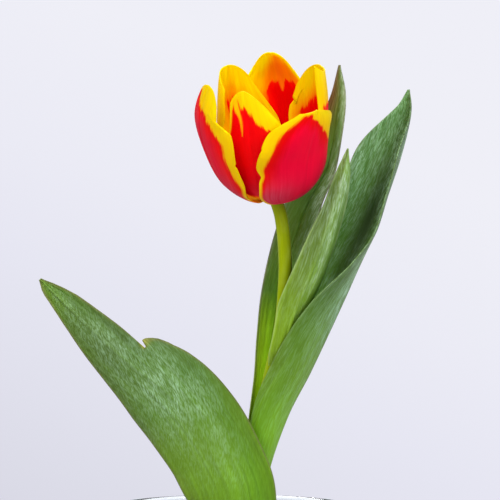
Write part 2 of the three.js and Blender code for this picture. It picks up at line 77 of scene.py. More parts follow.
# The petals' surfaces, base to tip: azimuth, midrib as (radius, height), half widths, the share of
# length that each side loses at its margin, the margins' pull towards the axis, and the twist.
# trims: where the right margin is cut back from its half width, in mm.
# rise: how far the tip's left corner stands up, in mm.
# nicks: faults of a margin, as side, place along the petal, reach below and above it, depth in mm.
# red_: where the red ends on a face, at the left and the right side as a share of the half width at
# even steps from base to tip, and at the tip as a share of the length at even steps from left to right.
# streak_: a pale streak that runs with the veins, along and across at even steps, and its width in mm.
# amber: where the amber band over the inner face's flame ends, at even steps from start to the tip,
# or an even tint of it, as a depth outside the band.
# haze: patches on the outer face, as along, across, their reach in each, and strength: a pale bloom that is
# partly the petal's own wax and partly a painted sheen. Where it is below 0 it is painted shade instead, a
# duskier red where the petal turns from the light.
# foot: where the yellow-orange foot ends. deep: the outer red far from the margins.
# lightness: how light the whole petal is painted, lighter or darker for how the light falls on it: painted
# light and shade.
RED_SIDE = [0.7, 0.72, 0.74, 0.7, 0.6, 0.4]
PETALS = {
    "petal_outer_right": {
        "azimuth": 37.3,
        "midrib": [(4.2, 0.4), (12.8, 1.6), (20.2, 9.5), (23.2, 21), (28, 33.1), (30.3, 41.6)],
        "left": [2.6, 9, 17.8, 20.4, 22.5, 20.6, 7], "right": [2.6, 9, 15.5, 19.8, 21.7, 18.5, 11.4],
        "fall": (0, 0.11), "roundness": (3, 1.2),
        "pull": ([0, 0, 0, 0, 0, -4.8, -2.3], [0, 0, 0, 0, 0, -1.6, -1.6]),
        "twist": [0, 0, 0, 1.8, 4.3, 3.4],
        "nicks": [(-1, 0.53, 0.03, 0.035, 1.2), (-1, 0.72, 0.012, 0.012, 0.4)],
        "red_outer": (
            [1.3, 1.2, 1, 0.84, 0.7, 0.6], [1.3, 1.2, 1.05, 0.92, 0.8, 0.7],
            [1.05, 0.99, 0.95, 0.8, 0.71, 0.64],
        ),
        "red_inner": (RED_SIDE, RED_SIDE, [0.5, 0.74, 0.84, 0.8, 0.68, 0.5]),
        # The last two patches, below 0, are painted shade where the petal turns from the light.
        "haze": [
            (0.34, -0.75, 0.12, 0.4, 0.8), (0.36, 0.95, 0.16, 0.45, -1.3), (0.22, 0.35, 0.1, 0.4, -0.9),
        ],
        "deep": "#FA0036", "painted_light_level": 0.92,
    },
    "petal_outer_left": {
        "azimuth": -72,
        "midrib": [(4.2, 0.4), (11.7, 1.6), (20.3, 9.5), (25.1, 22), (27.3, 37.5), (22.7, 52.5)],
        "left": [2.6, 9, 16.5, 20.5, 20, 15.1, 9.3], "right": [2.4, 5.5, 9.1, 15.4, 17.1, 19.1, 14.1],
        "fall": (0.11, 0.09), "roundness": (2.2, 2.2), "twist": [0, 0, 0, 0, 1, 6],
        "trims": [
            (0.855, 0), (0.864, 1), (0.87, 3.5), (0.875, 6.8), (0.885, 7.2), (0.905, 6.4), (0.93, 5.6),
            (0.96, 5.3), (1.01, 5.3),
        ],
        "nicks": [(1, 0.66, 0.012, 0.012, 0.6)],
        "red_outer": (
            [1.3, 1.2, 1.1, 0.95, 0.85, 0.6], [1.3, 1.1, 0.97, 0.76, 0.72, 0.5],
            [1.1, 1.05, 0.905, 0.838, 0.778, 0.7],
        ),
        "red_inner": (RED_SIDE, [0.7, 0.72, 0.74, 0.7, 0.55, 0.4], [0.5, 0.74, 0.82, 0.8, 0.66, 0.5]),
        # Pale bloom along the flank that is seen edge-on, partly a painted sheen.
        "haze": [
            (0.86, -0.1, 0.12, 0.3, 0.3), (0.74, 0.25, 0.12, 0.22, 0.1), (0.6, 0.42, 0.14, 0.22, 0.05),
            (0.45, 0.62, 0.14, 0.25, 0.25),
        ],
        "foot": 0.3, "deep": "#E4002C", "painted_light_level": 0.93,
    },
    "petal_outer_back": {
        "azimuth": 166, "midrib": [(4.2, 0.4), (14, 1.6), (20.5, 9.5), (24.9, 22), (26.3, 38), (21.3, 53)],
        "left": [2.6, 9, 16.5, 20.5, 22, 19, 12], "right": [2.6, 9, 16.5, 20.5, 22, 19, 9.7],
        "fall": (0.25, 0.13), "roundness": (2.1, 2.2),
        "red_outer": (
            [1.3, 1.2, 1, 0.85, 0.76, 0.6], [1.3, 1.2, 1, 0.86, 0.74, 0.6],
            [0.6, 0.84, 0.93, 0.92, 0.84, 0.6],
        ),
        "red_inner": (
            [0.6, 0.62, 0.6, 0.55, 0.5, 0.45], [0.3, 0.32, 0.28, 0.15, 0.2, 0.2],
            [0.6, 0.8, 0.825, 0.765, 0.5, 0.3],
        ),
        "streak_inner": {
            "along": [0.985, 0.95, 0.9, 0.85, 0.8, 0.76],
            "across": [-0.105, -0.125, -0.125, -0.115, -0.11, -0.1], "width": [0.3, 1, 1.3, 1.3, 1, 0.1],
        },
        "amber": {
            "start": 0.6, "left": [0.75, 0.72, 0.7, 0.58, 0.3], "right": [0.2, 0.22, 0.24, 0.175, -0.03],
        },
        "haze": [(0.5, 0, 0.3, 0.5, 0.4)], "painted_light_level": 1.08,
    },
    "petal_inner_front": {
        "azimuth": -18, "midrib": [(3.2, 1.6), (11, 3.6), (16.5, 10.5), (20.3, 22), (22.5, 37), (21.5, 52)],
        "left": [1.6, 7, 12.5, 16, 14, 8.8, 6.5], "right": [1.6, 7, 13.5, 17.5, 18.5, 17, 13],
        "fall": (0.07, 0.2), "roundness": (2, 1.5), "twist": [0, 0, 0, 0, -1, -3],
        "nicks": [(1, 0.9, 0.01, 0.01, 0.4)],
        "red_outer": (
            [1.2, 1.2, 1.2, 1.1, 0.93, 0.75], [1.3, 1.2, 1, 0.8, 0.62, 0.5],
            [0.92, 0.962, 0.925, 0.853, 0.79, 0.7],
        ),
        "streak_outer": {
            "along": [1.02, 0.97, 0.914, 0.865, 0.815, 0.76],
            "across": [-0.62, -0.56, -0.46, -0.31, -0.265, -0.26], "width": [1, 0.95, 0.9, 0.6, 0.45, 0.1],
        },
        "red_inner": (RED_SIDE, [0.7, 0.72, 0.74, 0.66, 0.5, 0.4], [0.5, 0.74, 0.8, 0.76, 0.62, 0.5]),
        "haze": [(0.3, 0.2, 0.1, 0.5, 0.3)], "foot": 0.29, "deep": "#F40006",
    },
    "petal_inner_right": {
        "azimuth": 108, "midrib": [(3.2, 1.6), (11, 3.6), (16.5, 10.5), (21.9, 22), (25.5, 36), (25.6, 49)],
        "left": [1.6, 7, 13.5, 17, 17.7, 15.9, 17], "right": [1.6, 6.5, 10.5, 13.5, 15.3, 18.4, 16.6],
        "fall": (0, 0.17), "roundness": (2.2, 2.5),
        "pull": ([0, 0, 0, -0.8, -0.9, -3.8, -3.4], [0, 0, -0.8, -1.8, -2.2, -2.9, -1.8]), "rise": 5.5,
        "nicks": [(1, 0.885, 0.007, 0.024, 3)],
        "red_outer": (
            [1.2, 1.15, 1.02, 0.95, 0.8, 0.5], [1.2, 1.1, 1, 0.88, 0.76, 0.5],
            [0.76, 0.8, 0.84, 0.86, 0.8, 0.7],
        ),
        "red_inner": (RED_SIDE, [0.75, 0.76, 0.76, 0.75, 0.72, 0.66], [0.7, 0.75, 0.78, 0.79, 0.757, 0.7]),
        "amber": -0.9, "haze": [(0.4, -0.6, 0.3, 0.3, 0.4)], "painted_light_level": 1,
    },
    "petal_inner_left": {
        "azimuth": -145,
        "midrib": [(3.2, 1.6), (11, 3.6), (16.5, 10.5), (20.9, 22), (22.6, 36), (22.1, 50.7)],
        "left": [1.6, 6.5, 10.5, 14, 18.9, 16.9, 10.7], "right": [1.6, 7, 13.5, 17.5, 19.1, 14.2, 10.4],
        "fall": (0.09, 0.09), "roundness": (2, 2.3), "pull": ([0, 0], [0, 0, 0, -1, -1.3, -5.7, -6.3]),
        "twist": [0, 0, 0, 0, 5.4, 1.2],
        "red_outer": (
            [1.2, 1.15, 1, 0.9, 0.8, 0.6], [1.2, 1.1, 0.9, 0.7, 0.55, 0.4],
            [0.8, 0.84, 0.88, 0.88, 0.87, 0.84],
        ),
        "red_inner": (
            [0.6, 0.62, 0.55, 0.38, 0.2, 0.2], [0.5, 0.5, 0.3, 0, -0.08, -0.1],
            [0.5, 0.68, 0.805, 0.745, 0.55, 0.4],
        ),
        "amber": -0.8, "haze": [(0.5, 0.5, 0.3, 0.4, 0.5)], "painted_light_level": 0.99,
    },
}
# What all petals share, and what a petal has where it doesn't give its own.
PETAL = {
    "half_width": 20, "columns": 76, "rows": 180, "thickness": 0.62, "margin": 0.45, "least_radius": 3,
    "taper": 3, "steps": 60, "folds": 0.26, "groove": 0.3, "waves": 0.55, "pull": ([0, 0], [0, 0]),
    "twist": [0, 0], "rise": 0, "nicks": [], "amber": -9, "foot": 0.2, "deep": "#F40034", "painted_light_level": 0.97,
}
# The inner red far from the margins.
SCARLET = "#D60000"
# Colour by depth inside the red, from 12 mm outside it to 12 mm within.
BAND_REACH = 12
PETAL_BANDS = {
    "outer": [
        (0, "#F4DC00"), (0.455, "#F2CE00"), (0.478, "#F2AA00"), (0.495, "#EE6400"), (0.512, "#E81200"),
        (0.58, "#EE0004"),
    ],
    "inner": [
        (0, "#F6EE00"), (0.2, "#F6E600"), (0.31, "#F6D400"), (0.4, "#F6B800"), (0.455, "#F68E00"),
        (0.485, "#F25000"), (0.51, "#EE1400"), (0.6, "#E40000"),
    ],
}

# Each station of a leaf: x, y, z of the midrib, the azimuth that the upper face looks to, then for
# the left and the right half the fold off the midrib, the curl out to the margin and the width.
LEAVES = {
    "leaf_left": [
        (-2.6, -9.2, 80.5, 180, 0, 100, 8, 0, 100, 8),
        (-1.6, -19, 101, 180, 0, 60, 10.5, 0, 60, 10.5),
        (-0.8, -34, 129, 180, 2, 30, 15.5, 2, 30, 15.5),
        (0.4, -49.6, 155, 180, 3, 26, 18.8, 3, 26, 18.5),
        (-5.6, -56.6, 172, 178, 4, 24, 19.3, 4, 24, 19),
        (-15, -61.6, 188, 176, 4, 22, 19.3, 4, 22, 19.4),
        (-27, -65.5, 201.5, 175, 4, 20, 17.4, 4, 20, 17.6),
        (-40.5, -69, 212.5, 175, 5, 18, 11.4, 5, 18, 12.8),
        (-52.4, -71.5, 223, 175, 6, 14, 9.2, 6, 14, 9.2),
        (-63.5, -73, 234, 175, 6, 10, 5.4, 6, 10, 5.4),
        (-75, -74, 245.5, 175, 6, 6, 0.4, 6, 6, 0.4),
    ],
    "leaf_right": [
        (7.35, -20.3, 123.2, -95, 0, 115, 8.9, 0, 115, 8.9),
        (11.6, -28.2, 147.5, -95, 0, 108, 10.4, 0, 108, 10.4),
        (15.2, -36.3, 168.5, -95, 4, 92, 13.5, 8, 100, 12.2),
        (22.6, -41, 190, -88, 6, 92, 16.5, 22, 95, 17.5),
        (31.8, -43.5, 208, -80, 7, 60, 20, 30, 75, 20.3),
        (42.5, -45, 231, -70, 30, 22, 17.5, 40, 35, 20.5),
        (50.6, -45, 249, -60, 36, 15, 19.5, 36, 16, 19),
        (57.7, -44, 264, -52, 42, 10, 20, 36, 8, 17),
        (63, -43, 279, -47, 45, 10, 19, 43, 8, 15),
        (68.5, -42, 295.5, -46, 45, 8, 17, 48, 8, 11),
        (72.4, -41, 312, -45, 45, 5, 7.5, 47, 5, 5),
        (72, -41, 322, -45, 45, 0, 0.4, 47, 0, 0.4),
    ],
    "leaf_back": [
        (10.1, -32.1, 177, 0, 0, 114, 8.6, 0, 114, 8.6),
        (14.3, -35.3, 202, 0, 10, 50, 6.8, 16, 50, 6),
        (16.5, -33, 220, 2, 12, 28, 7.2, 30, 28, 4.8),
        (19.5, -30.5, 238.5, 4, 15, 18, 8.4, 28, 18, 6.2),
        (25.2, -29, 259, 6, 18, 14, 10, 28, 14, 9),
        (31.8, -27.5, 276.5, 8, 20, 12, 11, 35, 12, 6.4),
        (39, -26.5, 289.5, 10, 22, 10, 11.5, 42, 10, 4.4),
        (42.5, -26, 306, 12, 24, 6, 9.5, 48, 6, 4.1),
        (44.4, -25.5, 320, 12, 24, 3, 4.6, 50, 3, 3.2),
        (44.5, -25.5, 333, 12, 24, 0, 0.4, 50, 0, 0.4),
    ],
    "leaf_small": [
        (18.9, -49.9, 208.5, -140, 0, 78, 5.6, 0, 78, 5.6),
        (23.2, -56.5, 225, -145, 7, 50, 6.2, 10, 50, 6.2),
        (26.7, -59.8, 235.5, -150, 6, 28, 7, 14, 28, 7.6),
        (32, -62.6, 248, -155, 6, 20, 7, 18, 20, 7.2),
        (36.7, -64, 261, -158, 6, 15, 6.4, 20, 15, 6.2),
        (41, -64.3, 274, -160, 6, 10, 5.2, 22, 10, 4.6),
        (44.5, -64, 287, -162, 8, 6, 3.5, 22, 6, 3),
        (46.5, -63.5, 297.3, -162, 8, 0, 0.3, 20, 0, 0.3),
    ],
}
# What all leaves share. The torn one needs finer rows.
LEAF = {
    "columns": 48, "row": 0.7, "thickness": 0.8, "margin": 0.4, "least_width": 0.25, "taper": 4,
    "keel": 0.35, "troughs": 0.22, "waves": 0.9, "torn": "leaf_left", "torn_row": 0.32,
}
# A leaf's foot clasps the stem: over its first few mm it draws in towards the stem's middle.
CLASP = {"radius": 4.4, "draw": 0.4, "length": 6}
# The margins' own faults: place along the leaf, and how far the margin is moved forward and outward,
# in mm. The left leaf is torn at its left margin, with a hooked lobe below the tear.
MARGINS = {
    "leaf_left": {
        "left": [
            (0.3, 0, 0), (0.5, 0, 0.33), (0.6, 0, 1), (0.64, 0.05, 1.5), (0.65, 0.35, 1.85),
            (0.66, 0.7, 1.95), (0.668, 1.35, 1.85), (0.676, 2, 1.25), (0.68, 2.9, 0.3),
            (0.683, 3.45, -0.55), (0.685, 3.7, -1.85), (0.6865, 2.45, -1.7), (0.688, 0.7, -1.9),
            (0.69, -0.65, -2.65), (0.692, -0.9, -3.15), (0.695, -0.5, -2.95), (0.7, 0.2, -2.65),
            (0.71, 0.45, -2.2), (0.72, 0.55, -1.85), (0.74, 0.45, -1.35), (0.76, 0.1, -1.1), (0.8, 0, -0.7),
            (0.85, 0, 0), (0.87, 0, 0.35), (0.91, 0, 1), (0.945, 0, 1), (0.972, 0, 0.7), (1, 0, 0),
        ],
        "right": [
            (0.86, 0, 0), (0.91, 0, 0.35), (0.945, 0, 0.85), (0.965, 0, 1.25), (0.98, 0, 1.15), (1, 0, 0),
        ],
    },
    "leaf_right": {"left": [(0.27, 0, 0), (0.31, 0, 0.8), (0.345, 0, 1.8), (0.365, 0, 1.3), (0.4, 0, 0)]},
}
# A mark on each leaf: place along and across, and its reach in each. On the left leaf it is the scar of
# the tear, on the right leaf painted shade deep in the fold by the keel, and on the back leaf painted shade
# with a red-brown cast from the bloom. On the small leaf it darkens its left margin low down.
STAINS_AND_SHADES = {
    "leaf_left": (0.694, -1, 0.01, 0.14), "leaf_right": (0.66, -0.2, 0.17, 0.22),
    "leaf_back": (0.88, -0.9, 0.16, 0.95), "leaf_small": (0.3, -1, 0.3, 0.12),
}
# The green of each leaf, across from left to right and along from base to tip, how thick the wax lies,
# the slant in degrees and the length in mm of the scratches in it, and the share of light let through.
# rim: a thin line along the margin, which on the small leaf is a pale painted highlight along its edges.
LEAF_TINTS = {
    "leaf_left": {
        "across": [
            (0, "#517507"), (0.15, "#4F7905"), (0.35, "#598309"), (0.5, "#5F880E"), (0.85, "#5D8407"),
            (1, "#5F7D0E"),
        ],
        "along": [
            (0.32, "#FFFFFF"), (0.45, "#E5E2FF"), (0.57, "#B9C1FF"), (0.75, "#A8A4FF"), (0.88, "#B2AFFF"),
            (1, "#E2DBFF"),
        ],
        "wax": "#8CAC86",
        "wax_across": [(0, "#45"), (0.15, "#65"), (0.35, "#8B"), (0.68, "#8E"), (0.85, "#61"), (1, "#59")],
        "wax_along": [(0.32, "#70"), (0.44, "#BC"), (0.54, "#FF"), (0.7, "#FF"), (0.82, "#DA"), (1, "#AA")],
        "slant": -22, "stroke": 2.8, "thin": 0.1, "rim": "#6E6A40", "rim_amount": 0.5, "stain": "#8A8410",
    },
    "leaf_right": {
        "across": [
            (0, "#62A519"), (0.3, "#629E13"), (0.48, "#6B980F"), (0.65, "#68980B"), (0.85, "#588508"),
            (1, "#5A8208"),
        ],
        "along": [
            (0.24, "#FFFFFF"), (0.35, "#E5DDFF"), (0.5, "#AFB3FF"), (0.75, "#949DFF"), (0.88, "#838CFF"),
            (1, "#9B9EFF"),
        ],
        "wax": "#8AAC86",
        "wax_across": [
            (0, "#C4"), (0.12, "#90"), (0.38, "#7C"), (0.48, "#CB"), (0.68, "#BC"), (0.82, "#7C"),
        ],
        "wax_along": [(0.22, "#68"), (0.36, "#98"), (0.48, "#F3"), (0.84, "#F3"), (1, "#E1")], "slant": 5,
        "stroke": 4, "thin": 0.1, "rim": "#A4B888", "rim_amount": 0.1, "stain": "#0A2400",
    },
    "leaf_back": {
        # The back leaf's greens are painted far lighter than its own colour, to stand in for light that
        # doesn't reach it behind the other leaves: painted light.
        "across": [(0, "#95B81D"), (0.3, "#8EBF12"), (0.6, "#7CB112"), (0.8, "#95D427"), (1, "#AAE738")],
        "along": [
            (0.12, "#FFFFFF"), (0.25, "#E7E7FF"), (0.34, "#7C90FF"), (0.46, "#9590FF"), (0.57, "#6C79FF"),
            (0.7, "#8B95FF"), (1, "#9090FF"),
        ],
        "wax": "#A0B892",
        "wax_across": [(0, "#95"), (0.12, "#59"), (0.5, "#59"), (0.68, "#86"), (0.85, "#DA"), (1, "#ED")],
        "wax_along": [(0.1, "#50"), (0.35, "#95"), (0.5, "#CB"), (0.65, "#E1"), (1, "#F3")], "slant": 4,
        "stroke": 4, "thin": 0.12, "rim": "#6C6058", "rim_amount": 0.5, "stain": "#52300E",
    },
    "leaf_small": {
        "across": [
            (0, "#507B12"), (0.14, "#5B8816"), (0.28, "#7EA81D"), (0.45, "#7CA419"), (0.6, "#6A8A12"),
            (0.86, "#6A8A12"), (0.95, "#779816"), (1, "#7E9F19"),
        ],
        "along": [
            (0.1, "#FFFFAA"), (0.3, "#E7E7CB"), (0.5, "#BCC0FF"), (0.78, "#B3B5FF"), (0.9, "#DFDFFF"),
            (1, "#E7DAFF"),
        ],
        "wax": "#A4BC9A",
        "wax_across": [
            (0, "#38"), (0.14, "#59"), (0.25, "#B3"), (0.35, "#CB"), (0.5, "#A2"), (0.75, "#8B"),
            (1, "#7C"),
        ],
        "wax_along": [
            (0.15, "#59"), (0.35, "#95"), (0.55, "#BC"), (0.68, "#E7"), (0.8, "#FF"), (0.94, "#BC"),
        ],
        "slant": 3, "stroke": 5, "thin": 0.15, "rim": "#A8BC88", "rim_amount": 0.3, "stain": "#24480A",
    },
}

# The stem's green from its foot to the receptacle, and how light it is painted round it: one flank lighter
# as if lit, the other darker as if in shade, which is painted light and shade.
STEM_BANDS = [(0, "#91AC39"), (0.5, "#849A0C"), (0.8, "#889E02"), (1, "#889600")]
STEM_PAINTED_LIGHT = [(0, "#DC"), (0.32, "#FF"), (0.5, "#D8"), (0.68, "#AC"), (1, "#DC")]

# The pistil and stamens, upwards from the receptacle. The profiles are (radius, height).
DISC_TOP = 5.2
OVARY = [
    (0, 2.4), (2.3, 2.4), (3.68, 3.2), (4.6, 4.4), (4.6, 5), (3.82, 5.7), (3.1, 6.6), (3.15, 10.25),
    (3.2, 13.9), (3.25, 17.55), (3.3, 20.2), (2.6, 21.8), (0, 22.4),
]
FILAMENT = [(0, -1.4), (0.85, -1.2), (0.8, 3), (0.6, 8), (0.3, 9), (0, 9)]
ANTHER = [(0, 7.6), (0.9, 7.8), (1.35, 9), (1.45, 13.6), (1.25, 17.8), (0.7, 19.24), (0, 19.6)]
STIGMA = {"lobes": 3, "reach": 4.3, "turn": 23, "height": 22.3}
STAMEN = {"count": 6, "ring": 3.6, "lean": 14, "turn": 11.5}

# The studio, in metres. A lamp is its name, place, width, watts and colour.
CAMERA = {"place": (0.0076, -1.1667, 0.257), "lens": 200}
FLOOR = {"radius": 1.6, "fade": (0.35, 1.5)}
BACKDROP = [(0.16, "#D9D9E5"), (0.275, "#E0E0EC"), (0.39, "#E6E6F2"), (0.5, "#EBEBF5"), (0.65, "#EFEFF7")]
LAMP_AIM = (0.01, -0.04, 0.22)
LAMPS = [
    ("key", (-0.65, -1.5, 1.15), 0.8, 24, "#FFFAF2"),
    ("fill", (1, -1.2, 1.1), 1, 22, "#F4F8FF"),
    ("front top", (0, -1, 1.9), 0.7, 16, "#FFFFFF"),
    ("back top", (-0.4, 1, 1.5), 1, 18, "#FFFFFF"),
]

# ---- small tools ----


def smooth(values, t):
    """A smooth value through evenly spaced ones, at t from 0 to 1."""
    last = len(values) - 1
    x = min(max(t, 0.0), 1.0) * last
    i = min(int(x), last - 1)
    f = x - i
    b, c = values[i], values[i + 1]
    a = values[i - 1] if i > 0 else 2 * b - c
    d = values[i + 2] if i + 2 <= last else 2 * c - b
    return b + 0.5 * f * (c - a + f * (2 * a - 5 * b + 4 * c - d + f * (3 * (b - c) + d - a)))


def between(rows, x):
    """The values of the last columns of a table at x of its first, straight between its rows."""
    if x <= rows[0][0] or x >= rows[-1][0]:
        return [0.0] * (len(rows[0]) - 1)
    i = max(k for k in range(len(rows) - 1) if rows[k][0] <= x)
    share = (x - rows[i][0]) / (rows[i + 1][0] - rows[i][0])
    return [mix(a, b, share) for a, b in zip(rows[i][1:], rows[i + 1][1:])]


def mix(a, b, share):
    return a + (b - a) * share


def ease(low, high, x):
    """0 below low, 1 above high, and a soft step between."""
    x = min(max((x - low) / (high - low), 0.0), 1.0)
    return x * x * (3 - 2 * x)


def ripple(x, y, seed):
    """A soft random wave from -1 to 1, the same on each run."""
    return noise.noise(Vector((x, y, 7.3 * seed)))


def sheet(columns, rows, place):
    """A grid bent by place(across, along), which also gives the values of the mesh's layers there."""
    mesh = bmesh.new()
    bmesh.ops.create_grid(mesh, x_segments=columns, y_segments=rows, size=1)
    uv = mesh.loops.layers.uv.new("surface")
    for face in mesh.faces:
        for loop in face.loops:
            loop[uv].uv = (0.5 + 0.5 * loop.vert.co.x, 0.5 + 0.5 * loop.vert.co.y)
    layers = {name: mesh.verts.layers.float.new(name) for name in place(0, 0)[1]}
    for vert in mesh.verts:
        vert.co, values = place(vert.co.x, 0.5 + 0.5 * vert.co.y)
        for name, value in values.items():
            vert[layers[name]] = value
    return mesh


def add_object(name, data):
    """A new object in the scene, at the origin."""
    made = bpy.data.objects.new(name, data)
    bpy.context.scene.collection.objects.link(made)
    return made


def finish_piece(name, mesh, node, materials):
    """Makes the object, in metres, and hands it to the frame in place of its CAD node."""
    bmesh.ops.scale(mesh, vec=(MM, MM, MM), verts=mesh.verts)
    data = bpy.data.meshes.new(name)
    mesh.to_mesh(data)
    mesh.free()
    for polygon in data.polygons:
        polygon.use_smooth = True
    for material in materials:
        data.materials.append(material)
    piece = add_object(name, data)
    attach(piece, "root")
    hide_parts(node)
    return piece


def thicken(piece, shape, other_face):
    """Gives a sheet its thickness either side of it, thinner towards its margin. The other face has
    the material that many slots on."""
    group = piece.vertex_groups.new(name="thickness")
    for index, edge in enumerate(piece.data.attributes["edge"].data):
        group.add([index], ease(0, shape["taper"], edge.value), "REPLACE")
    wall = piece.modifiers.new("thickness", "SOLIDIFY")
    wall.thickness = shape["thickness"] * MM
    wall.offset = 0
    wall.vertex_group = "thickness"
    wall.thickness_vertex_group = shape["margin"] / shape["thickness"]
    wall.material_offset = other_face


def join(target, part, matrix, slot=0):
    """Moves a part into place and adds it to the target, with the material of that slot."""
    bmesh.ops.transform(part, matrix=matrix, verts=part.verts)
    for face in part.faces:
        face.material_index = slot
    holder = bpy.data.meshes.new("part")
    part.to_mesh(holder)
    part.free()
    target.from_mesh(holder)
    bpy.data.meshes.remove(holder)


# ---- materials ----


def paint(code):
    """An sRGB hex colour as linear RGBA. A grey has one pair of digits."""
    code = code[1:] * (3 if len(code) == 3 else 1)
    parts = [int(code[i : i + 2], 16) / 255 for i in (0, 2, 4)]
    return tuple(c / 12.92 if c <= 0.04045 else ((c + 0.055) / 1.055) ** 2.4 for c in parts) + (1.0,)


def put(tree, kind, inputs=(), stops=None, **settings):
    """Adds a node with its settings and links. Inputs are values, or nodes or sockets to link, in
    their order or by name or number. A Math node adds, if it isn't told otherwise."""
    node = tree.nodes.new("ShaderNode" + kind)
    for name, value in settings.items():
        setattr(node, name, value)
    for key, value in inputs.items() if isinstance(inputs, dict) else enumerate(inputs):
        if isinstance(value, bpy.types.Node):
            value = next(socket for socket in value.outputs if socket.enabled)
        if isinstance(value, bpy.types.NodeSocket):
            tree.links.new(value, node.inputs[key])
        else:
            node.inputs[key].default_value = value
    if stops:
        band = node.color_ramp.elements
        while len(band) < len(stops):
            band.new(1.0)
        for element, (position, colour) in zip(band, stops):
            element.position = position
            element.color = paint(colour)
    return node


def material(name):
    """A new material, and what puts nodes into it."""
    made = bpy.data.materials.new(name)
    made.use_nodes = True
    made.node_tree.nodes.clear()
    return made, partial(put, made.node_tree)


def pattern(add, place, scale, start=(0, 0, 0), **look):
    """A noise with as many grains in a unit of the place as its scale says, each way."""
    spot = add("Mapping", {0: place, "Location": start, "Scale": scale})
    return add("TexNoise", {0: spot, "Scale": 1.0, **look})


def grown_skin(add, colour, roughness, shine, grain, depth, strength=0.8, light=None, share=0):
    """A plant's skin with its relief, in mm, and the share of light that comes through it."""
    bump = add("Bump", {"Height": grain, "Distance": depth * MM, "Strength": strength})
    face = {"Base Color": colour, "Roughness": roughness, "Specular IOR Level": shine, "Normal": bump}
    skin = add("BsdfPrincipled", face)
    if light:
        skin = add("MixShader", (share, skin, add("BsdfTranslucent", {"Color": light, "Normal": bump})))
    add("OutputMaterial", (skin,))


def petal_skin(name, face, seed, length, petal):
    """Tulip petal: a thin satin skin over parallel veins, which lets some light through. Its colour
    runs from yellow through orange to red in tongues that follow the veins."""
    made, add = material(name)
    place = add("UVMap", uv_map="surface")
    along = add("SeparateXYZ", (place,)).outputs[1]
    layers = ("side_" + face, "tip_" + face, "streak_" + face, "edge", "amber", "haze")
    read = [add("Attribute", attribute_name=layer).outputs["Fac"] for layer in layers]
    side, tip, streak, edge, amber, haze = read
    full, foot, painted_light_level = 2 * PETAL["half_width"], petal["foot"], petal["painted_light_level"]
    deep = SCARLET if face == "inner" else petal["deep"]
    # Veins a millimetre apart, tongues of colour 3 mm apart, and soft clouds of 14 mm.
    veins = pattern(add, place, (full / 1, length / 26, 1), (seed, 0, seed), Detail=4, Roughness=0.62)
    tongues = pattern(add, place, (full / 3, length / 14, 1), (0, seed, seed), Detail=5, Roughness=0.66)
    clouds = pattern(add, place, (full / 14, length / 20, 1), (seed, seed, 0), Detail=3, Roughness=0.55)

    # The tongues move the end of the red by up to 2 mm, and its sides by much less.
    reach = add("MapRange", (tongues, 0.25, 0.75, -2.4, 2.4), clamp=False)
    waver = add("MapRange", (tongues, 0.25, 0.75, -0.9, 0.9), clamp=False)
    fray = add("MapRange", (veins, 0.25, 0.75, -0.55, 0.55), clamp=False)
    ends = (add("Math", (tip, reach)), add("Math", (side, waver)))
    depth = add("Math", (add("Math", ends, operation="MINIMUM"), fray))
    level = add("MapRange", (depth, -BAND_REACH, BAND_REACH))
    colour = add("ValToRGB", (level,), stops=PETAL_BANDS[face] + [(0.78, deep)])

    if face == "inner":
        # The amber band lies over the flame, and ends within a millimetre or two.
        band = add("MapRange", (add("Math", (amber, waver)), -2.7, 2.7), interpolation_type="SMOOTHSTEP")
        calm = add("MapRange", (depth, -1.5, 0, 1, 0))
        coats = [(band, calm, "#F49A00")]
        glow = "#F4900C"
    else:
        # The red is duller and more purple low down, and carries a pale bloom in long streaks, partly a
        # painted sheen; where the patches are below 0 the red is painted darker as shade.
        inside = add("MapRange", (depth, 0.4, 2.5))
        low = add("MapRange", (along, 0.6, 0.22, 0, 0.5))
        streaky = add("MapRange", (veins, 0.36, 0.68, 0.2, 0.55))
        bloom_and_sheen = add("Math", (haze, streaky), operation="MULTIPLY")
        # Painted shade: where the patches are below 0 the red turns dark maroon.
        painted_shade = add("MapRange", (haze, 0, -1, 0, 0.85))
        coats = [(low, inside, "#AA0836"), (bloom_and_sheen, inside, "#D4708A"), (painted_shade, inside, "#6C0018")]
        glow = "#F8C000"
    coats = [(add("Math", (a, b), operation="MULTIPLY"), paint(tint)) for a, b, tint in coats]

    # A pale streak of the margin's colour.
    ragged = add("MapRange", (veins, 0.3, 0.7, -0.35, 0.35), clamp=False)
    streak = add("MapRange", (add("Math", (streak, ragged)), -0.35, 0.35))
    # The margin itself is clear yellow for about a millimetre.
    rim = add("MapRange", (edge, 0.5, 1.5, 0.9, 0))
    # The foot of the petal fades through orange to yellow-green.
    fade = add("MapRange", (along, foot - 0.16, foot, 1, 0))
    base = add("ValToRGB", (fade,), stops=[(0, "#F03000"), (0.4, "#FF9000"), (1, "#F0B820")])
    cover = add("MapRange", (fade, 0, 0.3))
    for share, coat in coats + [(streak, paint(glow)), (rim, paint("#F2D800")), (cover, base)]:
        colour = add("Mix", {0: share, 6: colour, 7: coat}, data_type="RGBA")

    # Veins and clouds change how light it is a little, and the whole petal is painted lighter or darker for
    # how
    # the light falls on it: painted light and shade.
    value = add("MapRange", (veins, 0.25, 0.75, 0.93, 1.05))
    wash = add("MapRange", (clouds, 0.3, 0.7, 0.92 * painted_light_level, 1.05 * painted_light_level))
    value = add("Math", (value, wash), operation="MULTIPLY")
    colour = add("HueSaturation", {"Color": colour, "Value": value})

    grown_skin(add, colour, 0.5, 0.05, add("Math", (veins, tongues)), 0.14, light=colour, share=0.4)
    return made


